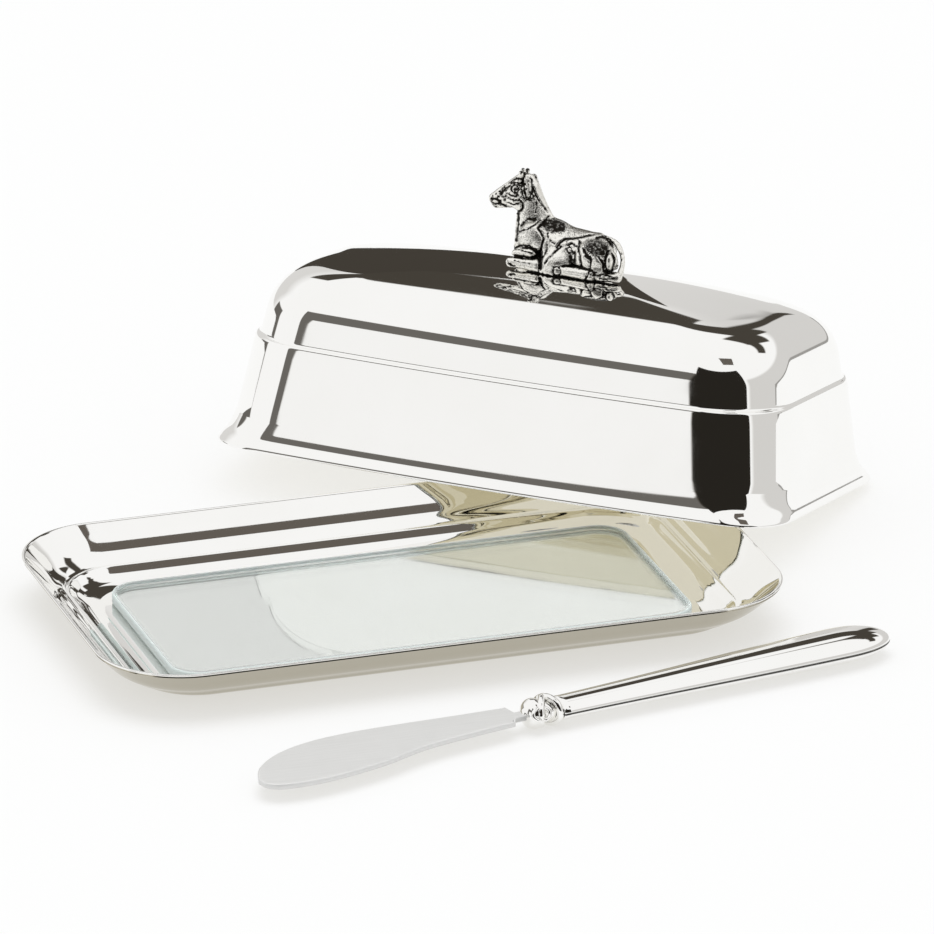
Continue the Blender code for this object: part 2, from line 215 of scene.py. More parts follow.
def mark_painted_shade(bm, first, last, step=1):
    """Marks vertices first to last, where painted shade goes: a darker tint standing in for the shade the
    plate mirrors there.
    """
    layers = bm.verts.layers.float
    painted_shade = layers.get("painted_shade") or layers.new("painted_shade")
    for vert in list(bm.verts)[first:last:step]:
        vert[painted_shade] = 1.0


def curve_through(points, steps):
    """A smooth open curve through the points, as a Catmull-Rom spline."""
    ends = [points[0], *points, points[-1]]
    curve = []
    for p0, p1, p2, p3 in zip(ends, ends[1:], ends[2:], ends[3:]):
        for step in range(steps):
            t = step / steps
            curve.append(tuple(0.5 * (2 * b + (c - a) * t + (2 * a - 5 * b + 4 * c - d) * t * t
                                      + (3 * b - a - 3 * c + d) * t ** 3)
                               for a, b, c, d in zip(p0, p1, p2, p3)))
    curve.append(points[-1])
    return curve


def straight(start, end, steps):
    """Evenly spaced points from start to end, without the start."""
    return [tuple(a + (b - a) * step / steps for a, b in zip(start, end)) for step in range(1, steps + 1)]


def turns(steps):
    """Evenly spaced angles round a circle."""
    return [2 * pi * step / steps for step in range(steps)]


def offset_profile(profile, distance):
    """The (inset, height) profile moved sideways by distance, to its left."""
    moved = []
    for index, (inset, height) in enumerate(profile):
        before = profile[max(index - 1, 0)]
        after = profile[min(index + 1, len(profile) - 1)]
        run = after[0] - before[0]
        rise = after[1] - before[1]
        size = sqrt(run * run + rise * rise)
        moved.append((inset - distance * rise / size, height + distance * run / size))
    return moved


def rect_ring(length, width, corner, inset, height, bow=0.0):
    shape = outline(length - 2 * inset, width - 2 * inset, corner, bow)
    return [(x, y, height) for x, y in shape]


# ---------------------------------------------------------------- tray

def tray_profile():
    """(inset, height) down the tray's upper face, from its rim to its floor."""
    rim = [(0, TRAY_HEIGHT - 0.25 * MM), (0.15 * MM, TRAY_HEIGHT - 0.04 * MM), (0.5 * MM, TRAY_HEIGHT),
           (0.9 * MM, TRAY_HEIGHT - 0.12 * MM)]
    seat_start = (SEAT_INSET - 1.1 * MM, SEAT_HEIGHT + 0.25 * MM)
    seat_end = (SEAT_INSET + 0.9 * MM, SEAT_HEIGHT - 0.45 * MM)
    slope = curve_through([(0.9 * MM, 13.88 * MM), (3.2 * MM, 11.42 * MM), (5.6 * MM, 8.85 * MM),
                           (7.4 * MM, 7.2 * MM), (9.3 * MM, 5.95 * MM), seat_start], 8)
    seat = curve_through([seat_start, (SEAT_INSET - 0.3 * MM, SEAT_HEIGHT - 0.1 * MM),
                          (SEAT_INSET + 0.4 * MM, SEAT_HEIGHT - 0.1 * MM), seat_end], 5)
    well = curve_through([seat_end, (SEAT_INSET + 1.9 * MM, 3.5 * MM),
                          (SEAT_INSET + 3 * MM, 2.65 * MM), (WELL_INSET - 3.4 * MM, SHEET + 0.7 * MM),
                          (WELL_INSET, SHEET)], 8)
    return rim[:-1] + slope[:-1] + seat[:-1] + well


def make_tray(material):
    upper = tray_profile()
    lower = offset_profile(upper, -SHEET)
    lower = [(max(inset, 0), max(min(height, TRAY_HEIGHT - SHEET), 0)) for inset, height in lower]
    flat = 1.5 * MM                       # a level margin keeps the floor's shading flat
    upper.append((WELL_INSET + flat, SHEET))
    lower.append((WELL_INSET + flat, 0))
    rings = []
    for inset, height in upper[::-1] + lower:
        rings.append(rect_ring(TRAY_LENGTH, TRAY_WIDTH, TRAY_CORNER - CORNER_CLOSING * inset, inset, height))
    bm = loft(rings)
    # painted shade: the underside takes a darker beige tint that stands in for the shaded floor it mirrors
    mark_painted_shade(bm, len(upper) * len(rings[0]), len(bm.verts))
    return new_object("tray_polished", bm, "tray", material, replaces=["tray"])


def make_glass(material):
    """A flat slab with ground, slightly rounded edges."""
    low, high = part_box("glass_insert")
    length, width, thickness = high - low
    side = [(4 * GLASS_EASE, 0), (GLASS_EASE, 0), (0.5 * GLASS_EASE, 0.12 * GLASS_EASE), (0, GLASS_EASE)]
    rings = []
    for inset, z in side + [(inset, thickness - z) for inset, z in side[::-1]]:
        rings.append(rect_ring(length, width, GLASS_CORNER - inset, inset, low.z + z))
    glass = new_object("glass_slab", loft(rings), "glass", material, replaces=["glass_insert"])
    ground = glass.data.attributes.new("ground", "FLOAT", "POINT")
    ground_by_ring = (0.0, 1.0, 1.0, 1.0, 1.0, 1.0, 0.6, 0.0)
    ground.data.foreach_set("value", np.repeat(ground_by_ring, len(rings[0])))


# ---------------------------------------------------------------- cover

def cover_profile():
    """(inset, height) up the cover's outer face, from its lip to the start of its shoulder."""
    flare = (FLARE_INSET, FLARE_HEIGHT)
    lip = curve_through([(0.07 * MM, 0.35 * MM), (0.11 * MM, 0.9 * MM), (0.55 * MM, 2 * MM),
                         (1.6 * MM, 4.4 * MM), flare], 8)
    bead_course = ((-0.15, -1.0), (-0.02, -0.45), (0.25, -0.08), (0.7, 0.1), (1.0, 0.5), (1.12, 1.1))
    bead = curve_through([(BEAD_INSET + inset * MM, BEAD_HEIGHT + height * MM)
                          for inset, height in bead_course], 5)
    lower = straight(flare, bead[0], 8)[:-1]
    upper = straight(bead[-1], (SHOULDER_INSET, SHOULDER_START), 5)
    return lip + lower + bead + upper


def cover_corner(inset):
    grown = COVER_CORNER + (WALL_CORNER - COVER_CORNER) * min(inset / FLARE_INSET, 1)
    return min(grown, COVER_WIDTH / 2 - COVER_BOW - inset - MM)


def cover_ring(inset, height):
    return rect_ring(COVER_LENGTH, COVER_WIDTH, cover_corner(inset), inset, height, COVER_BOW)


def crown_slopes(edge):
    """How steeply the domed top leaves each point of its edge."""
    slopes = []
    for index, (x, y, _) in enumerate(edge):
        before = edge[index - 1]
        after = edge[(index + 1) % len(edge)]
        outward = Vector((after[1] - before[1], before[0] - after[0])).normalized()
        slopes.append(2 * CROWN / outward.dot(Vector((x, y))))
    return slopes


def shoulder_rings(start, end, pull, steps):
    """Rings of a curve that leaves the wall along its lean and runs smoothly into the domed top."""
    slopes = crown_slopes(cover_ring(*end))
    rings = []
    for step in range(1, steps + 1):
        t = step / steps
        weights = ((1 - t) ** 3, 3 * (1 - t) ** 2 * t, 3 * (1 - t) * t * t, t ** 3)
        insets = (start[0], start[0] + pull * sin(WALL_LEAN), end[0] - pull, end[0])
        inset = sum(weight * value for weight, value in zip(weights, insets))
        ring = []
        for (x, y, _), slope in zip(cover_ring(inset, 0), slopes):
            heights = (start[1], start[1] + pull * cos(WALL_LEAN), end[1] - pull * slope, end[1])
            ring.append((x, y, sum(weight * value for weight, value in zip(weights, heights))))
        rings.append(ring)
    return rings


def crown_rings(edge, drop):
    """Rings over the domed top, closing in on the finial's stud hole."""
    rings = []
    steps = 30
    for step in range(1, steps + 1):
        share = step / steps
        ring = []
        for x, y, _ in edge:
            outward = Vector((x - STUD_X, y, 0)).normalized()
            hole = Vector((STUD_X, 0, 0)) + outward * STUD_CLEARANCE
            px = x + (hole.x - x) * share
            py = y + (hole.y - y) * share
            reach = 1 - share
            ring.append((px, py, SHOULDER_HEIGHT - drop + CROWN * (1 - reach * reach)))
        rings.append(ring)
    return rings


def cover_face(wall, drop):
    """All rings of one face of the cover's sheet, from its lip to the stud hole."""
    rings = [cover_ring(inset, height) for inset, height in wall]
    rings += shoulder_rings(wall[-1], (SHOULDER_END, SHOULDER_HEIGHT - drop), SHOULDER_PULL - drop / 2, 30)
    return rings + crown_rings(rings[-1], drop)


def make_cover(material):
    outer = cover_profile()
    inner = [(inset, max(height, 0.2 * MM)) for inset, height in offset_profile(outer, -COVER_SHEET)]
    outer_rings = cover_face(outer, 0)[::-1]
    inner_rings = cover_face(inner, COVER_SHEET)
    bm = loft(outer_rings + inner_rings + outer_rings[:1], capped=False)
    count = len(outer_rings[0])
    # painted shade: the inside takes a beige tint that stands in for the shaded floor it mirrors
    mark_painted_shade(bm, len(outer_rings) * count, len(bm.verts) - count)
    bmesh.ops.remove_doubles(bm, verts=bm.verts, dist=MERGE)
    return new_object("cover_polished", bm, "cover", material, cover_place(),
                      replaces=["cover_shell"])


# ---------------------------------------------------------------- calf

CALF_STEP = 0.27            # mm, spacing of the field the calf is sculpted in
CALF_LOW = (-25.0, -12.0)   # mm, low and high corners of that field round the calf
CALF_HIGH = (25.0, 12.0, 86.0)
CALF_BASE = (COVER_TOP + 0.3 * MM) / MM
LEAN_X = 0.41               # how far the chased lines step along and up, per mm out from the middle
LEAN_Z = 0.225


class Clay:
    """A signed distance field in mm that limbs are joined to and grooves are cut into."""

    def __init__(self, low, high):
        self.low = low
        sizes = [int((b - a) / CALF_STEP) + 2 for a, b in zip(low, high)]
        axes = [a + CALF_STEP * np.arange(size) for a, size in zip(low, sizes)]
        self.x, self.y, self.z = np.meshgrid(*axes, indexing="ij")
        self.side = np.abs(self.y)
        self.u = self.x - LEAN_X * self.side
        self.w = self.z - LEAN_Z * self.side
        self.field = np.full(sizes, 50.0)
        self.oxide_and_seat_shade = np.zeros(sizes)
        self.stipple = np.zeros(sizes)

    def join(self, distance, blend):
        share = np.clip(0.5 + 0.5 * (distance - self.field) / blend, 0, 1)
        mixed = distance + (self.field - distance) * share
        self.field = mixed - blend * share * (1 - share)

    def limb(self, start, end, radius_start, radius_end, flat=1.0, blend=1.5, paired=False):
        """A tapering rounded limb; flat narrows it across, paired makes one on each side."""
        across = self.side if paired else self.y
        a = np.array(start)
        line = np.array(end) - a
        along = (self.x - a[0]) * line[0] + (across - a[1]) * line[1] + (self.z - a[2]) * line[2]
        share = np.clip(along / line.dot(line), 0, 1)
        dx = self.x - a[0] - line[0] * share
        dy = (across - a[1] - line[1] * share) / flat
        dz = self.z - a[2] - line[2] * share
        radius = radius_start + (radius_end - radius_start) * share
        self.join(np.sqrt(dx * dx + dy * dy + dz * dz) - radius, blend)

    def lump(self, centre, radii, blend=1.2, paired=False):
        across = self.side if paired else self.y
        parts = [(value - c) / r for value, c, r in zip((self.x, across, self.z), centre, radii)]
        size = np.sqrt(sum(part * part for part in parts))
        self.join((size - 1) * min(radii), blend)

    def near_line(self, points):
        """Distance from a broken line of leaning (u, w) points."""
        nearest = np.full(self.field.shape, 99.0)
        for (ax, az), (bx, bz) in zip(points, points[1:]):
            length = (bx - ax) ** 2 + (bz - az) ** 2
            share = np.clip(((self.u - ax) * (bx - ax) + (self.w - az) * (bz - az)) / length, 0, 1)
            dx = self.u - ax - (bx - ax) * share
            dz = self.w - az - (bz - az) * share
            nearest = np.minimum(nearest, np.sqrt(dx * dx + dz * dz))
        return nearest

    def cut(self, distance, width, depth, beyond=1.0):
        """Press a groove where the distance is small, off the calf's middle plane."""
        press = np.exp(-(distance / width) ** 2) * np.clip((self.side - beyond) / 0.8, 0, 1)
        self.field += depth * press
        self.oxide_and_seat_shade = np.maximum(self.oxide_and_seat_shade, press)

    def groove(self, points, width=0.34, depth=0.4, beyond=1.0):
        self.cut(self.near_line(points), width, depth, beyond)

    def dimples(self, points, width=0.4, depth=0.35):
        for u, w in points:
            self.cut(np.hypot(self.u - u, self.w - w), width, depth)

    def ring(self, centre, radius, width=0.3, depth=0.4):
        self.cut(np.abs(np.hypot(self.u - centre[0], self.w - centre[1]) - radius), width, depth)

    def patch(self, centre, radii, strength=1.0):
        """An area that is stippled with a punch."""
        size = np.hypot((self.u - centre[0]) / radii[0], (self.w - centre[1]) / radii[1])
        self.stipple = np.maximum(self.stipple, strength * np.clip((1.25 - size) / 0.4, 0, 1))


def sculpt_body(clay):
    clay.limb((-3.5, 0, 63.2), (11, 0, 62.1), 6.5, 6.3, flat=1.12, blend=2.5)
    clay.limb((-4.8, 0, 66.6), (-1.5, 0, 65.9), 4.9, 4.8, flat=0.9, blend=2.5)
    clay.limb((-9.5, 0, 61), (-9.7, 0, 71), 3.8, 3.5, flat=1.15, blend=2)
    clay.limb((-6.6, 0, 68), (-9.7, 0, 78.4), 4.3, 3.1, flat=0.9, blend=2)
    clay.limb((-4.5, 0, 70.7), (-9.6, 0, 80.1), 2.4, 1.5, flat=0.8, blend=0.8)
    clay.lump((12.5, 0, 62.4), (5, 6.2, 5.6), 1.5)
    clay.lump((9.5, 4.6, 61.4), (5.6, 3.6, 5.4), 1)
    clay.lump((2.2, 4, 58.5), (6.8, 6, 5.8), 1.2, paired=True)
    clay.lump((-6, 4.7, 65.2), (4.3, 3, 4.8), 0.9, paired=True)
    clay.lump((14, -5.4, 61.8), (7, 4.4, 5.7), 0.7)


def sculpt_head(clay):
    clay.limb((-12.6, 0, 79.8), (-20.6, 0, 74.1), 2.6, 1.72, flat=0.9, blend=1.4)
    clay.limb((-12.6, 0, 77.2), (-17.8, 0, 74.9), 3.2, 2.3, flat=0.85, blend=1.2)
    clay.limb((-14, 0, 74.6), (-19.9, 0, 72.7), 2.3, 1.25, flat=0.95, blend=0.8)
    clay.lump((-10.3, 0, 81.2), (1.6, 1.5, 1.7), 0.8)
    clay.lump((-13, 2.2, 78.2), (2, 1.1, 2), 1, paired=True)
    clay.lump((-12.3, 1.9, 75), (2.7, 1.4, 2.6), 1.2, paired=True)
    clay.limb((-9.8, 2.4, 81.4), (-8.7, 3.2, 77.2), 1.1, 0.9, blend=0.6, paired=True)
    clay.limb((-12, 2.2, 81.3), (-11.9, 2.5, 83.3), 0.8, 0.66, blend=0.4, paired=True)
    clay.limb((-12.3, 0, 81.6), (-12.3, 0, 83.6), 0.95, 0.7, blend=0.4)


def sculpt_legs(clay):
    clay.limb((-9.9, 7.2, 60.6), (-4.8, 7.4, 61.4), 1.3, 1.5, blend=0.4, paired=True)
    clay.limb((-11, 8, 58.1), (-2.8, 8.3, 58.4), 1.5, 1.55, blend=0.35, paired=True)
    clay.limb((3.9, 8.4, 57.9), (14, 8.7, 58), 1.3, 1.7, blend=0.4, paired=True)
    clay.lump((3.7, 8.8, 57.8), (1.5, 1.3, 1.4), 0.25, paired=True)
    clay.limb((-4, 6.2, 57.8), (2.6, 6.8, 57.8), 2.6, 2.6, blend=1.4, paired=True)


def sculpt_tail(clay):
    course = curve_through([(15.2, 0, 67.2), (18.6, -0.6, 66), (21, -2.6, 62.8), (21.9, -5, 59.6),
                            (21.6, -7.4, 57.7), (19.4, -8.9, 58.2)], 3)
    for start, end in zip(course, course[1:]):
        clay.limb(start, end, 0.85, 0.85, blend=0.3)
    clay.limb((14, -7.6, 58.3), (21.4, -6.8, 57.9), 2, 1.6, blend=0.5)
    clay.lump((19.3, -7.9, 62.2), (1.15, 1.5, 2.5), 0.2)


def chase_head(clay):
    """The chaser's lines on the head and neck, as (u, w) points."""
    clay.groove([(-19.2, 76.6), (-16.8, 79.2), (-15, 80.5), (-13.2, 81), (-12.2, 80.7)], 0.32, 0.35, 0.7)
    clay.groove([(-18.6, 75.9), (-17.2, 77.5), (-16.2, 78.5)], 0.42, 0.35, 0.8)
    clay.groove([(-21.3, 73.9), (-20, 74.1), (-18.6, 73.4)], 0.5, 0.4, 0.4)
    clay.groove([(-22.4, 72.9), (-20.3, 72.6), (-18.7, 72.9), (-17.1, 72.6), (-16.3, 71.9)], 0.3, 0.5, 0)
    clay.groove([(-21.2, 72), (-19.8, 71.8)], 0.22, 0.2, 0.2)
    clay.dimples([(-21.4, 74.9), (-20.4, 75.5), (-19.4, 74.9)], 0.34)
    clay.ring((-14.4, 77.7), 1.15, 0.3, 0.4)
    clay.dimples([(-14.6, 77.6), (-14.1, 77.8)], 0.4)
    clay.groove([(-16.4, 78.6), (-15.3, 79.5), (-14, 79.6), (-12.8, 78.9)], 0.24, 0.3)
    clay.groove([(-16.9, 76.4), (-15.8, 75.8), (-14.4, 75.6), (-13.1, 76.2)], 0.26, 0.3)
    clay.groove([(-18.6, 76.2), (-18.7, 75.3), (-17.8, 74.9), (-17, 75.3)], 0.24, 0.3)
    clay.groove([(-17, 75.4), (-15.8, 74.6), (-14.4, 74.3), (-13, 74.8), (-12.3, 76)], 0.24, 0.3)
    clay.groove([(-16.2, 73.5), (-14.5, 73.1), (-13.2, 73.5), (-12.3, 74.6)], 0.26, 0.3)
    clay.groove([(-16.6, 72.1), (-15.3, 71.6), (-13.5, 71.3), (-12.1, 71.6), (-11.6, 72.8), (-11.8, 73.9)],
                0.36, 0.5, 0.3)
    clay.groove([(-12.1, 80.3), (-12.5, 78.2), (-12, 76.3), (-10.9, 74.7)], 0.26, 0.35)
    clay.groove([(-10.5, 82.3), (-9.4, 81), (-8.9, 78.5), (-9.8, 75.5)], 0.28, 0.35)
    clay.dimples([(-11.4, 79.6), (-10.5, 80.6), (-10.9, 78.3), (-9.9, 77.4), (-11.3, 77), (-10.6, 75.8)])
    clay.groove([(-9.1, 79.3), (-8, 76.9), (-6.5, 75), (-4.8, 73.2), (-3.3, 71.9)], 0.26, 0.35, 0.6)
    clay.groove([(-12.9, 71.1), (-12.8, 68), (-12.9, 65.4), (-13, 62.9)], 0.42, 0.25, 0.6)
    clay.groove([(-8.6, 74.6), (-8.2, 73.2)], 0.22, 0.25)
    clay.groove([(-7.8, 75), (-7.3, 73.2), (-7.7, 71.8)], 0.28, 0.3)
    clay.ring((-12.7, 83.2), 0.45, 0.2, 0.1)
    for u in (-13.3, -12.4, -11.1):
        clay.cut(np.hypot(clay.u - u, clay.w - 84.2), 0.5, 0.05, -1)
        clay.cut(np.hypot(clay.u - u - 0.5, clay.w - 82.9), 0.34, 0.05, -1)


def chase_front(clay):
    """The lines round the shoulder and the folded forelegs."""
    clay.groove([(-12.2, 65.5), (-9.9, 66.5), (-8.1, 67.8), (-5.9, 69.8)], 0.24, 0.15)
    clay.groove([(-2.6, 71.6), (-3.7, 71), (-4.7, 69.6), (-6.7, 67.2), (-5.6, 66.2), (-4.6, 64.6),
                 (-5.2, 61.8), (-5.5, 60.3)], 0.36, 0.5, 0.6)
    clay.groove([(-5.5, 60.3), (-5.2, 57.7), (-5.2, 55.8)], 0.62, 0.8)
    clay.groove([(-13.4, 60.5), (-12.1, 61.3), (-10.6, 61.8), (-9.6, 61.5), (-9, 62), (-8.2, 61.1),
                 (-6, 59.8)], 0.32, 0.45)
    clay.groove([(-14.7, 57.9), (-12.8, 58.5), (-10.7, 58.4), (-8.4, 58.3), (-6.6, 59.1)], 0.32, 0.45)
    clay.groove([(-12.4, 60.3), (-10.2, 60), (-8, 59.7)], 0.18, 0.15)
    clay.groove([(-15.2, 56.3), (-14.4, 55.6), (-13.1, 55.3)], 0.26, 0.3)
    clay.groove([(-13.2, 56.9), (-10.4, 56.7), (-7.6, 56.6)], 0.18, 0.15)
    clay.groove([(-3.9, 57.2), (-2.8, 58.9), (-0.7, 61.4), (1.3, 63.2)], 0.26, 0.3)
    clay.groove([(-4.6, 59), (-3.4, 61.2), (-3.4, 63.2)], 0.22, 0.25)
    clay.groove([(-3.6, 66.6), (-3.1, 64.6), (-1.4, 63.6)], 0.24, 0.2)


def chase_back(clay):
    """The lines on the flank, the haunch and the tail."""
    clay.groove([(-0.4, 62.4), (0.5, 64), (1.8, 65.2), (5.5, 66), (9.1, 67.4), (11, 68.3)], 0.34, 0.35)
    clay.groove([(6.5, 65.4), (6.3, 63.2), (6.9, 61.1), (7.6, 58.2)], 0.34, 0.4)
    clay.groove([(5.2, 62), (5.4, 60.4), (5.2, 58.9)], 0.36, 0.3)
    clay.groove([(2.8, 63.4), (4.2, 64.5), (5.7, 63.6)], 0.3, 0.3)
    clay.ring((3.6, 62.3), 0.8, 0.22, 0.25)
    clay.groove([(11.5, 66.9), (13.3, 67.5), (15.6, 67.3), (16.8, 66.3), (17.4, 65.2)], 0.36, 0.4, -1)
    clay.groove([(8, 62.9), (9.2, 61.4), (10.4, 60.5)], 0.6, 0.6)
    clay.groove([(10.4, 60.6), (10.4, 58.2), (9.8, 56.2)], 0.32, 0.4)
    clay.groove([(12.6, 61.5), (14.2, 60), (14.5, 57.7)], 0.4, 0.5)
    clay.groove([(15.2, 63.4), (14.7, 61.3), (14.7, 59.4), (15.7, 57.7), (17, 57.6)], 0.34, 0.5)
    clay.groove([(16.7, 63.3), (17.6, 61.4), (17.4, 59.4), (16.9, 57.9)], 0.3, 0.4)
    clay.groove([(17.6, 64.2), (18.9, 63.2), (19.3, 61.6), (18.9, 59.8), (17.9, 58)], 0.5, 0.6, 0)
    clay.groove([(0.6, 56.9), (2.4, 57.7), (5.1, 58.1), (7.9, 58), (9.4, 57.5)], 0.26, 0.35)
    clay.ring((0.1, 55.7), 1.25, 0.24, 0.3)
    clay.groove([(9.1, 54.6), (9.9, 56.1), (12.7, 56), (14.5, 56.8), (16.9, 56.4)], 0.28, 0.35)
    clay.groove([(11.4, 56.4), (11.9, 54.8)], 0.22, 0.25)
    clay.groove([(13.2, 55.4), (16, 55.6), (18.6, 56.2)], 0.2, 0.2)


def punch_calf(clay):
    """Stippled hair: dense on withers and hip, light on neck and back."""
    clay.patch((-1.7, 68.7), (4, 2.1), 2.2)
    clay.patch((12.1, 64.1), (4.2, 2.4), 2.1)
    clay.patch((13.4, 66), (3, 1), 0.8)
    clay.patch((3.6, 67), (5, 1.5), 0.62)
    clay.patch((-3.4, 62.6), (1, 3.2), 0.62)
    clay.patch((-8.6, 72.4), (3.6, 4.6), 0.5)
    clay.patch((-6.6, 71.2), (2.6, 3), 0.62)
    clay.patch((-9.6, 65), (3.8, 2.8), 0.55)
    clay.patch((-10.8, 78.2), (1.6, 4), 0.62)


def make_calf(material):
    clay = Clay((*CALF_LOW, CALF_BASE - 2), CALF_HIGH)
    sculpt_body(clay)
    sculpt_head(clay)
    sculpt_legs(clay)
    sculpt_tail(clay)
    bend = hollowness(clay.field)
    chase_head(clay)
    chase_front(clay)
    chase_back(clay)
    punch_calf(clay)
    half_x = COVER_LENGTH / 2 - SHOULDER_END
    half_y = COVER_WIDTH / 2 - SHOULDER_END
    reach = np.maximum(np.abs(clay.x) * MM / half_x, clay.side * MM / half_y)
    seat = CALF_BASE - CROWN / MM * reach * reach - clay.z
    socket = np.hypot(clay.x - STUD_X / MM, clay.y) - STUD_CLEARANCE / MM
    socket = np.maximum(socket, clay.z - CALF_BASE - SOCKET_DEPTH)
    clay.field = np.maximum(np.maximum(clay.field, seat), -socket)
    # painted contact shadow: darkens the calf along its seat on the cover, added to the real oxide
    painted_seat_shadow = np.exp(-(seat / 0.35) ** 2)
    clay.oxide_and_seat_shade = np.clip(np.maximum(np.maximum(clay.oxide_and_seat_shade, bend), painted_seat_shadow), 0, 1)
    points, quads = surface_net(clay.field)
    mesh_points = (points * CALF_STEP + clay.low) * MM
    bm = bmesh.new()
    verts = [bm.verts.new(point) for point in mesh_points]
    for quad in quads:
        bm.faces.new([verts[index] for index in quad])
    calf = new_object("calf_cast", bm, "cover", material, cover_place(),
                      replaces=["calf_finial"])
    cells = tuple(np.rint(points).astype(int).T)
    for name, values in (("oxide_and_seat_shade", clay.oxide_and_seat_shade), ("stipple", clay.stipple)):
        layer = calf.data.attributes.new(name, "FLOAT", "POINT")
        layer.data.foreach_set("value", values[cells].astype(np.float32))


def hollowness(field):
    """How strongly the surface is creased inwards, from 0 to 1."""
    reach = 3
    bend = -6 * field
    for axis in range(3):
        bend += np.roll(field, reach, axis) + np.roll(field, -reach, axis)
    bend /= (reach * CALF_STEP) ** 2
    return np.clip((-0.1 - bend) / 0.6, 0, 0.85)


def surface_net(field):
    """The field's zero surface as points in grid steps and faces of four points."""
    cells = tuple(size - 1 for size in field.shape)
    total = np.zeros((*cells, 3))
    count = np.zeros(cells)
    grid = np.stack(np.meshgrid(*(np.arange(size) for size in cells), indexing="ij"), axis=-1)
    crossings = []
    for axis in range(3):
        first = np.delete(field, -1, axis)
        second = np.delete(field, 0, axis)
        crosses = (first < 0) != (second < 0)
        share = np.where(crosses, first / np.where(crosses, first - second, 1), 0)
        crossings.append((crosses, first < 0))
        others = [other for other in range(3) if other != axis]
        for shift_b in (0, 1):
            for shift_c in (0, 1):
                window = [slice(None)] * 3
                offset = np.zeros(3)
                for other, shift in zip(others, (shift_b, shift_c)):
                    window[other] = slice(shift, shift + cells[other])
                    offset[other] = shift
                here = crosses[tuple(window)]
                place = grid + offset
                place[..., axis] += share[tuple(window)]
                total += place * here[..., None]
                count += here
    used = count > 0
    number = np.full(cells, -1)
    number[used] = np.arange(used.sum())
    points = total[used] / count[used][:, None]
    quads = []
    for axis, (crosses, starts_inside) in enumerate(crossings):
        b, c = [other for other in range(3) if other != axis]
        for spot in np.argwhere(crosses):
            if spot[b] == 0 or spot[c] == 0 or spot[b] >= cells[b] or spot[c] >= cells[c]:
                continue
            ring = []
            for back_b, back_c in ((1, 1), (0, 1), (0, 0), (1, 0)):
                cell = spot.copy()
                cell[b] -= back_b
                cell[c] -= back_c
                ring.append(int(number[tuple(cell)]))
            flip = starts_inside[tuple(spot)] == (axis == 1)
            quads.append(ring[::-1] if flip else ring)
    return points, quads


# ---------------------------------------------------------------- knife

def shrink(shape, distance):
    """A counterclockwise outline of (x, y) points moved inwards by distance."""
    moved = []
    for index, (x, y) in enumerate(shape):
        before = shape[index - 1]
        after = shape[(index + 1) % len(shape)]
        run = Vector((after[0] - before[0], after[1] - before[1])).normalized()
        moved.append((x - run.y * distance, y + run.x * distance))
    return moved


def make_blade(material):
    """The spreader blade with eased faces, and the tang that runs into the handle."""
    spine = curve_through([(0.4, -4.5), (4.5, 2.6), (13, 8.7), (24, 12.0), (37, 12.4), (52, 10.8), (68, 8.4),
                           (BLADE_END / MM, 6.2)], 8)
    edge = curve_through([(81, -4.4), (73, -4.7), (53, -6.4), (36, -10.7), (18, -12.7), (6, -11.4),
                          (1.2, -8.6), (0.4, -4.5)], 8)[:-1]
    half_tang = TANG_HALF_WIDTH / MM
    below_tang = 82.5           # the lower edge meets the tang a little before the spine does
    tang = [(BLADE_END / MM, half_tang), (TANG_END / MM, half_tang), (TANG_END / MM, -half_tang),
            (below_tang, -half_tang)]
    shape = [(x * MM, y * MM) for x, y in (spine + tang + edge)[::-1]]
    half = BLADE_THICKNESS / 2
    ease = 0.25 * MM
    rings = []
    for inset, height in ((3 * ease, -half), (ease, -half), (0, -half + ease), (0, half - 1.6 * ease),
                          (0.6 * ease, half - 0.5 * ease), (1.8 * ease, half), (3 * ease, half)):
        rings.append([(x, y, height) for x, y in shrink(shape, inset + BLADE_GAP)])
    return new_object("blade_satin", loft(rings), "knife", material, knife_place(),
                      replaces=["knife_blade"])


def roll_round(path, radius, sides=14):
    """A closed round bar along a closed path of points."""
    rings = []
    for index, point in enumerate(path):
        ahead = (Vector(path[(index + 1) % len(path)]) - Vector(path[index - 1])).normalized()
        side = ahead.cross(Vector((1, 0, 0))).normalized()
        up = side.cross(ahead)
        ring = []
        for angle in turns(sides):
            ring.append(Vector(point) + side * radius * cos(angle) + up * radius * sin(angle))
        rings.append(ring)
    rings.append(rings[0])
    return rings


def make_collar(material):
    """The cast collar: a bead at the blade, then two rolls that cross like a knot, with a loop in front."""
    steps = 40
    half_bead = 3.5 * MM
    rings = []
    for step in range(steps + 1):
        share = step / steps
        x = COLLAR_LENGTH * share
        bead = sqrt(max(1 - ((x - half_bead) / half_bead) ** 2, 0)) * COLLAR_RADIUS
        behind_bead = COLLAR_NECK if share < 0.9 else HANDLE_NECK[1]
        radius = max(bead, behind_bead if share > 0.4 else TANG_RADIUS)
        rings.append([(COLLAR_START + x, radius * cos(turn), radius * sin(turn)) for turn in turns(40)])
    bm = loft(rings)
    for slant, offset in ((0.6, 6.2 * MM), (-0.45, 8.2 * MM)):
        path = []
        for angle in turns(36):
            y = 4 * MM * cos(angle)
            z = (3.9 if angle < pi else 3.3) * MM * sin(angle)
            path.append((COLLAR_START + offset + slant * y, y, z))
        add_rings(bm, roll_round(path, 1.05 * MM))
    centre = Vector((COLLAR_START + 3.9 * MM, -4.1 * MM, 1.2 * MM))
    loop = []
    for angle in turns(24):
        along = 2.6 * MM * cos(angle)
        up = 1.6 * MM * sin(angle)
        loop.append(centre + Vector((along, 0.6 * up, up)))
    add_rings(bm, roll_round(loop, 0.55 * MM, 12))
    bmesh.ops.remove_doubles(bm, verts=bm.verts, dist=MERGE)
    return new_object("collar_cast", bm, "knife", material, knife_place(),
                      replaces=["knife_collar"])


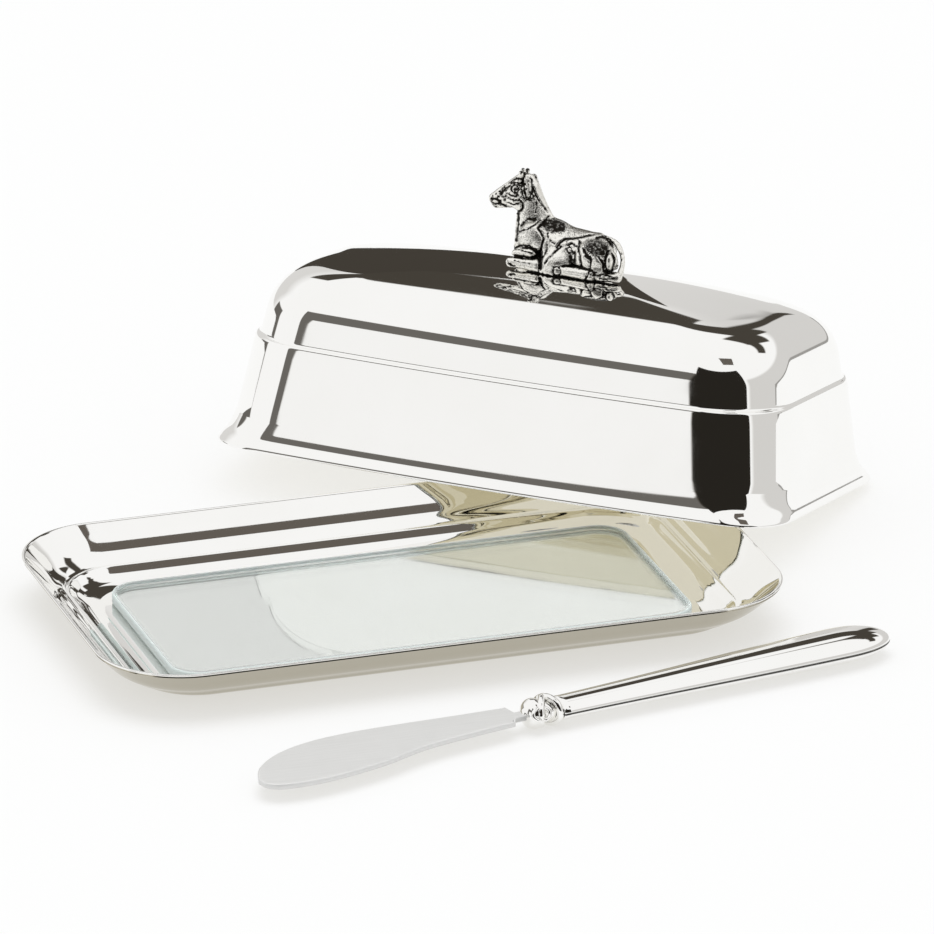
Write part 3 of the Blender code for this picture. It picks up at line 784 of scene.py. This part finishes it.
def handle_stations():
    """(x, half width, half height) along the handle, widest near its rounded end."""
    taper = HANDLE_WIDEST_AT - HANDLE_START
    tip = KNIFE_LENGTH - END_GAP - HANDLE_WIDEST_AT
    taper_steps = 40
    tip_steps = 30
    places = [HANDLE_START + taper * step / taper_steps for step in range(taper_steps + 1)]
    places += [HANDLE_WIDEST_AT + tip * sin(pi / 2 * step / tip_steps) for step in range(1, tip_steps + 1)]
    stations = []
    for x in places:
        share = min((x - HANDLE_START) / taper, 1)
        swell = HANDLE_SWELL * share * share * (3 - 2 * share) + (1 - HANDLE_SWELL) * share
        beyond = max(x - HANDLE_WIDEST_AT, 0) / tip
        close = max(sqrt(max(1 - beyond ** HANDLE_END_SQUARENESS, 0)), HANDLE_END_FLAT)
        stations.append((x, *((neck + (widest - neck) * swell) * close
                              for neck, widest in zip(HANDLE_NECK, HANDLE_WIDEST))))
    return stations


def make_handle(material):
    """Two pressed half shells; a painted dark reflection runs along the seam between them."""
    arc_steps = 36
    angles = [pi * step / arc_steps for step in range(arc_steps + 1)]
    for name, node, side in (("handle_top", "knife_handle_top_shell", 1),
                             ("handle_bottom", "knife_handle_bottom_shell", -1)):
        rings = []
        for x, half_width, half_height in handle_stations():
            outer = []
            inner = []
            hollow = 1 - min(HANDLE_SHEET / half_width, 0.6)
            for angle in angles:
                across = half_width * SIDE_SHARE * cos(angle)
                up = (half_height - HALF_GAP) * SIDE_SHARE * sin(angle)
                outer.append((x, across, side * (HALF_GAP + up)))
                inner.append((x, across * hollow, side * (HALF_GAP + up * hollow)))
            rings.append(outer + inner[::-1])
        bm = loft(rings)
        # painted reflection: a dark line down both sides of the seam
        for edge in (0, arc_steps):
            mark_painted_shade(bm, edge, None, len(rings[0]))
        new_object(name, bm, "knife", material, knife_place(), replaces=[node])


# ---------------------------------------------------------------- materials

def new_material(name):
    material = bpy.data.materials.new(name)
    material.use_nodes = True
    tree = material.node_tree
    return material, tree, tree.nodes["Principled BSDF"]


def calculate(tree, operation, *values, clamp=False):
    """A math node on numbers or sockets; gives its result socket."""
    node = tree.nodes.new("ShaderNodeMath")
    node.operation = operation
    node.use_clamp = clamp
    for socket, value in zip(node.inputs, values):
        if isinstance(value, (int, float)):
            socket.default_value = value
        else:
            tree.links.new(value, socket)
    return node.outputs[0]


def spread(tree, value, source, result=(0.0, 1.0)):
    """The value with its source range mapped to the result range and held at the ends."""
    node = tree.nodes.new("ShaderNodeMapRange")
    for name, number in zip(("From Min", "From Max", "To Min", "To Max"), (*source, *result)):
        node.inputs[name].default_value = number
    tree.links.new(value, node.inputs["Value"])
    return node.outputs["Result"]


def noise_factor(tree, scale, low, high, detail=4.0):
    """A noise between two values, in object space."""
    where = tree.nodes.new("ShaderNodeTexCoord")
    noise = tree.nodes.new("ShaderNodeTexNoise")
    noise.inputs["Scale"].default_value = scale
    noise.inputs["Detail"].default_value = detail
    tree.links.new(where.outputs["Object"], noise.inputs["Vector"])
    return spread(tree, noise.outputs["Fac"], (0.3, 0.7), (low, high))


def attribute(tree, name):
    layer = tree.nodes.new("ShaderNodeAttribute")
    layer.attribute_name = name
    return layer.outputs["Fac"]


def add_relief(tree, shader, height, strength, depth, sunk=False):
    """Lets a pattern stand out of the surface, or sink into it."""
    relief = tree.nodes.new("ShaderNodeBump")
    relief.invert = sunk
    relief.inputs["Strength"].default_value = strength
    relief.inputs["Distance"].default_value = depth
    tree.links.new(height, relief.inputs["Height"])
    tree.links.new(relief.outputs["Normal"], shader.inputs["Normal"])


def two_tones(tree, factor, tone_a, tone_b):
    """A colour between two tones; the first may be another colour's socket."""
    mix = tree.nodes.new("ShaderNodeMix")
    mix.data_type = "RGBA"
    if isinstance(tone_a, tuple):
        mix.inputs["A"].default_value = (*tone_a, 1)
    else:
        tree.links.new(tone_a, mix.inputs["A"])
    mix.inputs["B"].default_value = (*tone_b, 1)
    tree.links.new(factor, mix.inputs["Factor"])
    return mix.outputs["Result"]


def silver_plate(name, painted_shade_tone):
    """Mirror-polished plate with a breath of tarnish and faint wipe marks, with painted shade in a given tone
    where marked.
    """
    material, tree, shader = new_material(name)
    shader.inputs["Metallic"].default_value = 1.0
    bloom = noise_factor(tree, scale=45, low=0.0, high=1.0)
    polished = two_tones(tree, bloom, (0.955, 0.95, 0.935), (0.94, 0.935, 0.915))
    # painted shade: marked vertices take the painted-shade tone
    tree.links.new(two_tones(tree, attribute(tree, "painted_shade"), polished, painted_shade_tone),
              shader.inputs["Base Color"])
    tree.links.new(noise_factor(tree, scale=90, low=0.015, high=0.05), shader.inputs["Roughness"])
    return material


def clear_glass():
    """Clear glass with finely ground edges that show its green tint."""
    material, tree, shader = new_material("clear_glass")
    ground = attribute(tree, "ground")
    tree.links.new(two_tones(tree, ground, (1.0, 1.0, 1.0), (0.88, 0.97, 0.95)),
              shader.inputs["Base Color"])
    tree.links.new(calculate(tree, "MULTIPLY_ADD", ground, -0.8, 1.0), shader.inputs["Transmission Weight"])
    shader.inputs["IOR"].default_value = 1.5
    smears = noise_factor(tree, scale=60, low=0.0, high=0.02)
    tree.links.new(calculate(tree, "MULTIPLY_ADD", ground, 0.45, smears), shader.inputs["Roughness"])
    depth = tree.nodes.new("ShaderNodeVolumeAbsorption")
    depth.inputs["Color"].default_value = (0.45, 0.88, 0.8, 1)
    depth.inputs["Density"].default_value = 12
    tree.links.new(depth.outputs["Volume"], tree.nodes["Material Output"].inputs["Volume"])
    return material


def brushed(name, tone_a, tone_b, metallic, rough):
    """Steel with fine lengthwise brush lines."""
    material, tree, shader = new_material(name)
    shader.inputs["Metallic"].default_value = metallic
    where = tree.nodes.new("ShaderNodeTexCoord")
    stretch = tree.nodes.new("ShaderNodeMapping")
    stretch.inputs["Rotation"].default_value = (0, 0, -KNIFE_TURN)
    stretch.inputs["Scale"].default_value = (60, 2600, 2600)
    tree.links.new(where.outputs["Object"], stretch.inputs["Vector"])
    lines = tree.nodes.new("ShaderNodeTexNoise")
    lines.inputs["Scale"].default_value = 1.0
    lines.inputs["Detail"].default_value = 3.0
    tree.links.new(stretch.outputs["Vector"], lines.inputs["Vector"])
    tree.links.new(two_tones(tree, lines.outputs["Fac"], tone_a, tone_b), shader.inputs["Base Color"])
    tree.links.new(noise_factor(tree, scale=200, low=rough, high=rough + 0.08), shader.inputs["Roughness"])
    add_relief(tree, shader, lines.outputs["Fac"], strength=0.25, depth=0.02 * MM)
    return material


def cement():
    """Grey-white filling cement with a gritty surface."""
    material, tree, shader = new_material("cement")
    grit = noise_factor(tree, scale=700, low=0.0, high=1.0)
    tree.links.new(two_tones(tree, grit, (0.62, 0.6, 0.56), (0.78, 0.76, 0.72)),
              shader.inputs["Base Color"])
    tree.links.new(noise_factor(tree, scale=300, low=0.8, high=0.95), shader.inputs["Roughness"])
    add_relief(tree, shader, grit, strength=0.4, depth=0.1 * MM)
    return material


def old_silver():
    """Cast silver: dark oxide left in the hollows and the punched areas, painted shade along its seat, bright
    where it was rubbed.
    """
    material, tree, shader = new_material("old_silver")
    shader.inputs["Metallic"].default_value = 1.0
    where = tree.nodes.new("ShaderNodeTexCoord")
    punch = tree.nodes.new("ShaderNodeTexVoronoi")
    punch.inputs["Scale"].default_value = 2600
    tree.links.new(where.outputs["Object"], punch.inputs["Vector"])
    pits = spread(tree, punch.outputs["Distance"], (0.55, 0.25))
    punched = attribute(tree, "stipple")
    stipple = calculate(tree, "MULTIPLY", pits, punched)
    grain = noise_factor(tree, scale=1100, low=-0.34, high=0.47, detail=6.0)
    dark = calculate(tree, "ADD", attribute(tree, "oxide_and_seat_shade"), grain)
    dark = calculate(tree, "MAXIMUM", dark, stipple)
    dense = calculate(tree, "MULTIPLY_ADD", punched, 0.5, -0.5)
    dense = calculate(tree, "MULTIPLY_ADD", grain, 0.5, dense)
    dark = calculate(tree, "MAXIMUM", dark, dense)
    oxide_and_seat_shade = spread(tree, dark, (0.28, 0.62))
    tree.links.new(two_tones(tree, oxide_and_seat_shade, (0.93, 0.915, 0.865), (0.022, 0.019, 0.015)),
              shader.inputs["Base Color"])
    tree.links.new(spread(tree, oxide_and_seat_shade, (0.0, 1.0), (0.27, 0.6)), shader.inputs["Roughness"])
    add_relief(tree, shader, calculate(tree, "ADD", stipple, grain), 0.6, 0.12 * MM, sunk=True)
    return material


def white_floor():
    """White acrylic, lit from above and faintly from below."""
    material, tree, shader = new_material("white_floor")
    shader.inputs["Base Color"].default_value = (0.312, 0.323, 0.347, 1)
    shader.inputs["Emission Color"].default_value = (0.594, 0.582, 0.55, 1)
    shader.inputs["Emission Strength"].default_value = 1.0
    shader.inputs["Specular IOR Level"].default_value = 0.0
    tree.links.new(noise_factor(tree, scale=40, low=0.55, high=0.65), shader.inputs["Roughness"])
    return material


# ---------------------------------------------------------------- studio

TARGET = Vector((52.38 * MM, 100.16 * MM, 0))
CAMERA_TURN = radians(-18.23)
CAMERA_RISE = radians(21.4)
CAMERA_DISTANCE = 3.478
LENS = 462.5


def make_camera():
    data = bpy.data.cameras.new("camera")
    data.lens = LENS
    data.clip_end = 20
    camera = add_to_scene("camera", data)
    level = cos(CAMERA_RISE)
    back = Vector((sin(CAMERA_TURN) * level, -cos(CAMERA_TURN) * level, sin(CAMERA_RISE)))
    camera.location = TARGET + back * CAMERA_DISTANCE
    camera.rotation_euler = (pi / 2 - CAMERA_RISE, 0, CAMERA_TURN)
    bpy.context.scene.camera = camera


STUDIO_WHITE = 0.97
EVEN_LIGHT = 0.87           # what matt surfaces get from all round
LAMP_POWER = 1.3
LAMP_SPREAD = radians(52)
LAMP_LEAN = radians(-12)
FLAG_BEHIND = 115 * MM      # from the cover's middle to the card behind it
FLAG_HEIGHT = 1000 * MM     # of the card over the tray

# What stands round the set, in degrees: (turn from, turn to, rise from, rise to, soft edge, brightness).
# Turns are measured from the camera's side, positive towards its right. Later ones stand in front.
STUDIO_CARDS = [
    (130, 225, -8, 24, 12.0, 0.70),         # backdrop paper
    (48, 175, -8, 27, 4.0, 0.66),           # grey screen at the right
    (160, 197, 25, 39, 1.0, 0.055),         # dark wall above the backdrop
    (167.5, 172.6, 8, 27, 1.0, 0.055),
    (146, 166, 32, 49, 1.5, 0.055),
    (122, 150, 41, 48, 1.5, 0.055),
    (90, 166, -0.8, 1.4, 0.6, 0.33),        # edge of the table
    (-132, -112, -4, 11, 1.5, 0.13),        # stand at the left
    (-68, -35, -4, 33, 0.8, 0.14),          # frame of the soft box
    (-35.8, 44, -4, 50, 0.6, 0.018),        # dark room behind the camera
    (-57.2, -35.9, -8, 19, 0.5, 0.945),     # soft box
]


def between(tree, value, middle, half, soft):
    """1 within half of the middle, falling to 0 over a soft edge."""
    from_middle = calculate(tree, "WRAP", calculate(tree, "SUBTRACT", value, middle), 180, -180)
    inside = calculate(tree, "SUBTRACT", half, calculate(tree, "ABSOLUTE", from_middle))
    return calculate(tree, "MULTIPLY_ADD", inside, 1 / soft, 0.5, clamp=True)


def make_world():
    """The studio that the silver mirrors; matt surfaces get an even light from all round instead."""
    world = bpy.data.worlds.new("studio")
    bpy.context.scene.world = world
    world.use_nodes = True
    tree = world.node_tree
    where = tree.nodes.new("ShaderNodeTexCoord")
    turned = tree.nodes.new("ShaderNodeVectorRotate")
    turned.rotation_type = "Z_AXIS"
    turned.inputs["Angle"].default_value = -CAMERA_TURN
    tree.links.new(where.outputs["Generated"], turned.inputs["Vector"])
    split = tree.nodes.new("ShaderNodeSeparateXYZ")
    tree.links.new(turned.outputs["Vector"], split.inputs["Vector"])
    x, y, z = split.outputs
    towards_camera = calculate(tree, "MULTIPLY", y, -1)
    turn = calculate(tree, "MULTIPLY", calculate(tree, "ARCTAN2", x, towards_camera), 180 / pi)
    rise = calculate(tree, "MULTIPLY", calculate(tree, "ARCSINE", z), 180 / pi)
    light = STUDIO_WHITE
    for turn_from, turn_to, rise_from, rise_to, soft, brightness in STUDIO_CARDS:
        across = between(tree, turn, (turn_from + turn_to) / 2, (turn_to - turn_from) / 2, soft)
        up = between(tree, rise, (rise_from + rise_to) / 2, (rise_to - rise_from) / 2, soft)
        cover = calculate(tree, "MULTIPLY", across, up)
        light = calculate(tree, "MULTIPLY_ADD", calculate(tree, "SUBTRACT", brightness, light), cover, light)
    tint = tree.nodes.new("ShaderNodeValToRGB")
    tint.color_ramp.elements[0].color = (0.0, 0.0, 0.0, 1)
    tint.color_ramp.elements[1].color = (1.0, 1.0, 1.0, 1)
    for brightness, colour in ((0.06, (0.066, 0.058, 0.047, 1)), (0.7, (0.71, 0.7, 0.685, 1))):
        tint.color_ramp.elements.new(brightness).color = colour
    tree.links.new(light, tint.inputs["Fac"])
    path = tree.nodes.new("ShaderNodeLightPath")
    seen = tree.nodes.new("ShaderNodeMix")
    seen.data_type = "RGBA"
    seen.inputs["B"].default_value = (EVEN_LIGHT, EVEN_LIGHT, EVEN_LIGHT, 1)
    tree.links.new(path.outputs["Is Diffuse Ray"], seen.inputs["Factor"])
    tree.links.new(tint.outputs["Color"], seen.inputs["A"])
    tree.links.new(seen.outputs["Result"], tree.nodes["Background"].inputs["Color"])


def seen_in_mirrors_only(thing):
    """The camera, the glass and the light on matt surfaces don't meet it; only reflections show it."""
    thing.visible_camera = False
    thing.visible_diffuse = False
    thing.visible_transmission = False
    thing.visible_shadow = False


def make_flag(name, corners, colour):
    """A dark card near the set that the silver mirrors."""
    mesh = bpy.data.meshes.new(name)
    mesh.from_pydata(corners, [], [tuple(range(len(corners)))])
    card = bpy.data.materials.new(name)
    card.use_nodes = True
    card.node_tree.nodes.clear()
    glow = card.node_tree.nodes.new("ShaderNodeEmission")
    glow.inputs["Color"].default_value = colour
    out = card.node_tree.nodes.new("ShaderNodeOutputMaterial")
    card.node_tree.links.new(glow.outputs[0], out.inputs["Surface"])
    mesh.materials.append(card)
    flag = add_to_scene(name, mesh)
    seen_in_mirrors_only(flag)


def make_flags():
    """One flag stands close behind the cover, one hangs over the tray's far slope."""
    right = Vector((cos(CAMERA_TURN), sin(CAMERA_TURN), 0))
    away = Vector((-sin(CAMERA_TURN), cos(CAMERA_TURN), 0))
    cover = middle_of("cover_shell")
    foot = Vector((TARGET.x, TARGET.y, 0))
    depth = (cover - foot).dot(away) + FLAG_BEHIND
    behind = []
    for across, height in ((-68, 54), (50, 54), (50, 67), (68, 118), (-36, 118), (-52, 84), (-68, 60)):
        behind.append(foot + right * across * MM + away * depth + Vector((0, 0, height * MM)))
    make_flag("flag_behind_cover", behind, (0.055, 0.048, 0.039, 1))
    over = [(x * MM, y * MM, FLAG_HEIGHT) for x, y in ((180, -405), (400, -405), (400, -128), (180, -128))]
    make_flag("flag_over_tray", over, (0.125, 0.11, 0.095, 1))


def make_lamp():
    """A wide overhead light for the floor and for all that isn't a mirror."""
    data = bpy.data.lights.new("overhead", "SUN")
    data.energy = LAMP_POWER
    data.angle = LAMP_SPREAD
    lamp = add_to_scene("overhead", data)
    lamp.rotation_euler = (LAMP_LEAN, 0, CAMERA_TURN)
    lamp.visible_glossy = False


def make_floor():
    mesh = bpy.data.meshes.new("floor")
    reach = 4.0
    corners = [(-reach, -reach, 0), (reach, -reach, 0), (reach, reach, 0), (-reach, reach, 0)]
    mesh.from_pydata(corners, [], [(0, 1, 2, 3)])
    mesh.materials.append(white_floor())
    floor = add_to_scene("floor", mesh)
    floor.location.z = -0.02 * MM      # just under the tray's base


def carry_over(steel, filling):
    """New looks for the hidden CAD pieces that keep their meshes."""
    finishes = {"finial_stud": steel, "finial_washer": steel, "finial_nut": steel,
                "knife_handle_filler": filling}
    for name, finish in finishes.items():
        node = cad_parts[name]
        node.data.materials.clear()
        node.data.materials.append(finish)


def main():
    # painted shade tone for the cover's inside, standing in for the shaded floor it mirrors
    silver = silver_plate("silver_plate", (0.85, 0.82, 0.71))
    # painted shade tone for the tray's underside
    make_tray(silver_plate("silver_tray", (0.54, 0.51, 0.43)))
    make_glass(clear_glass())
    make_cover(silver).visible_shadow = False      # its shadow would grey the whole set
    make_calf(old_silver())
    make_blade(brushed("satin_blade", (0.77, 0.77, 0.76), (0.66, 0.66, 0.65), metallic=0.35, rough=0.42))
    make_collar(silver)
    # painted reflection: near-black tone for the line along the handle's seam
    make_handle(silver_plate("silver_handle", (0.03, 0.027, 0.024)))
    steel = brushed("steel", (0.7, 0.7, 0.69), (0.58, 0.58, 0.57), metallic=1.0, rough=0.25)
    carry_over(steel, cement())
    make_floor()
    make_world()
    make_flags()
    make_lamp()
    make_camera()
    bpy.context.scene.view_settings.view_transform = "Standard"


main()
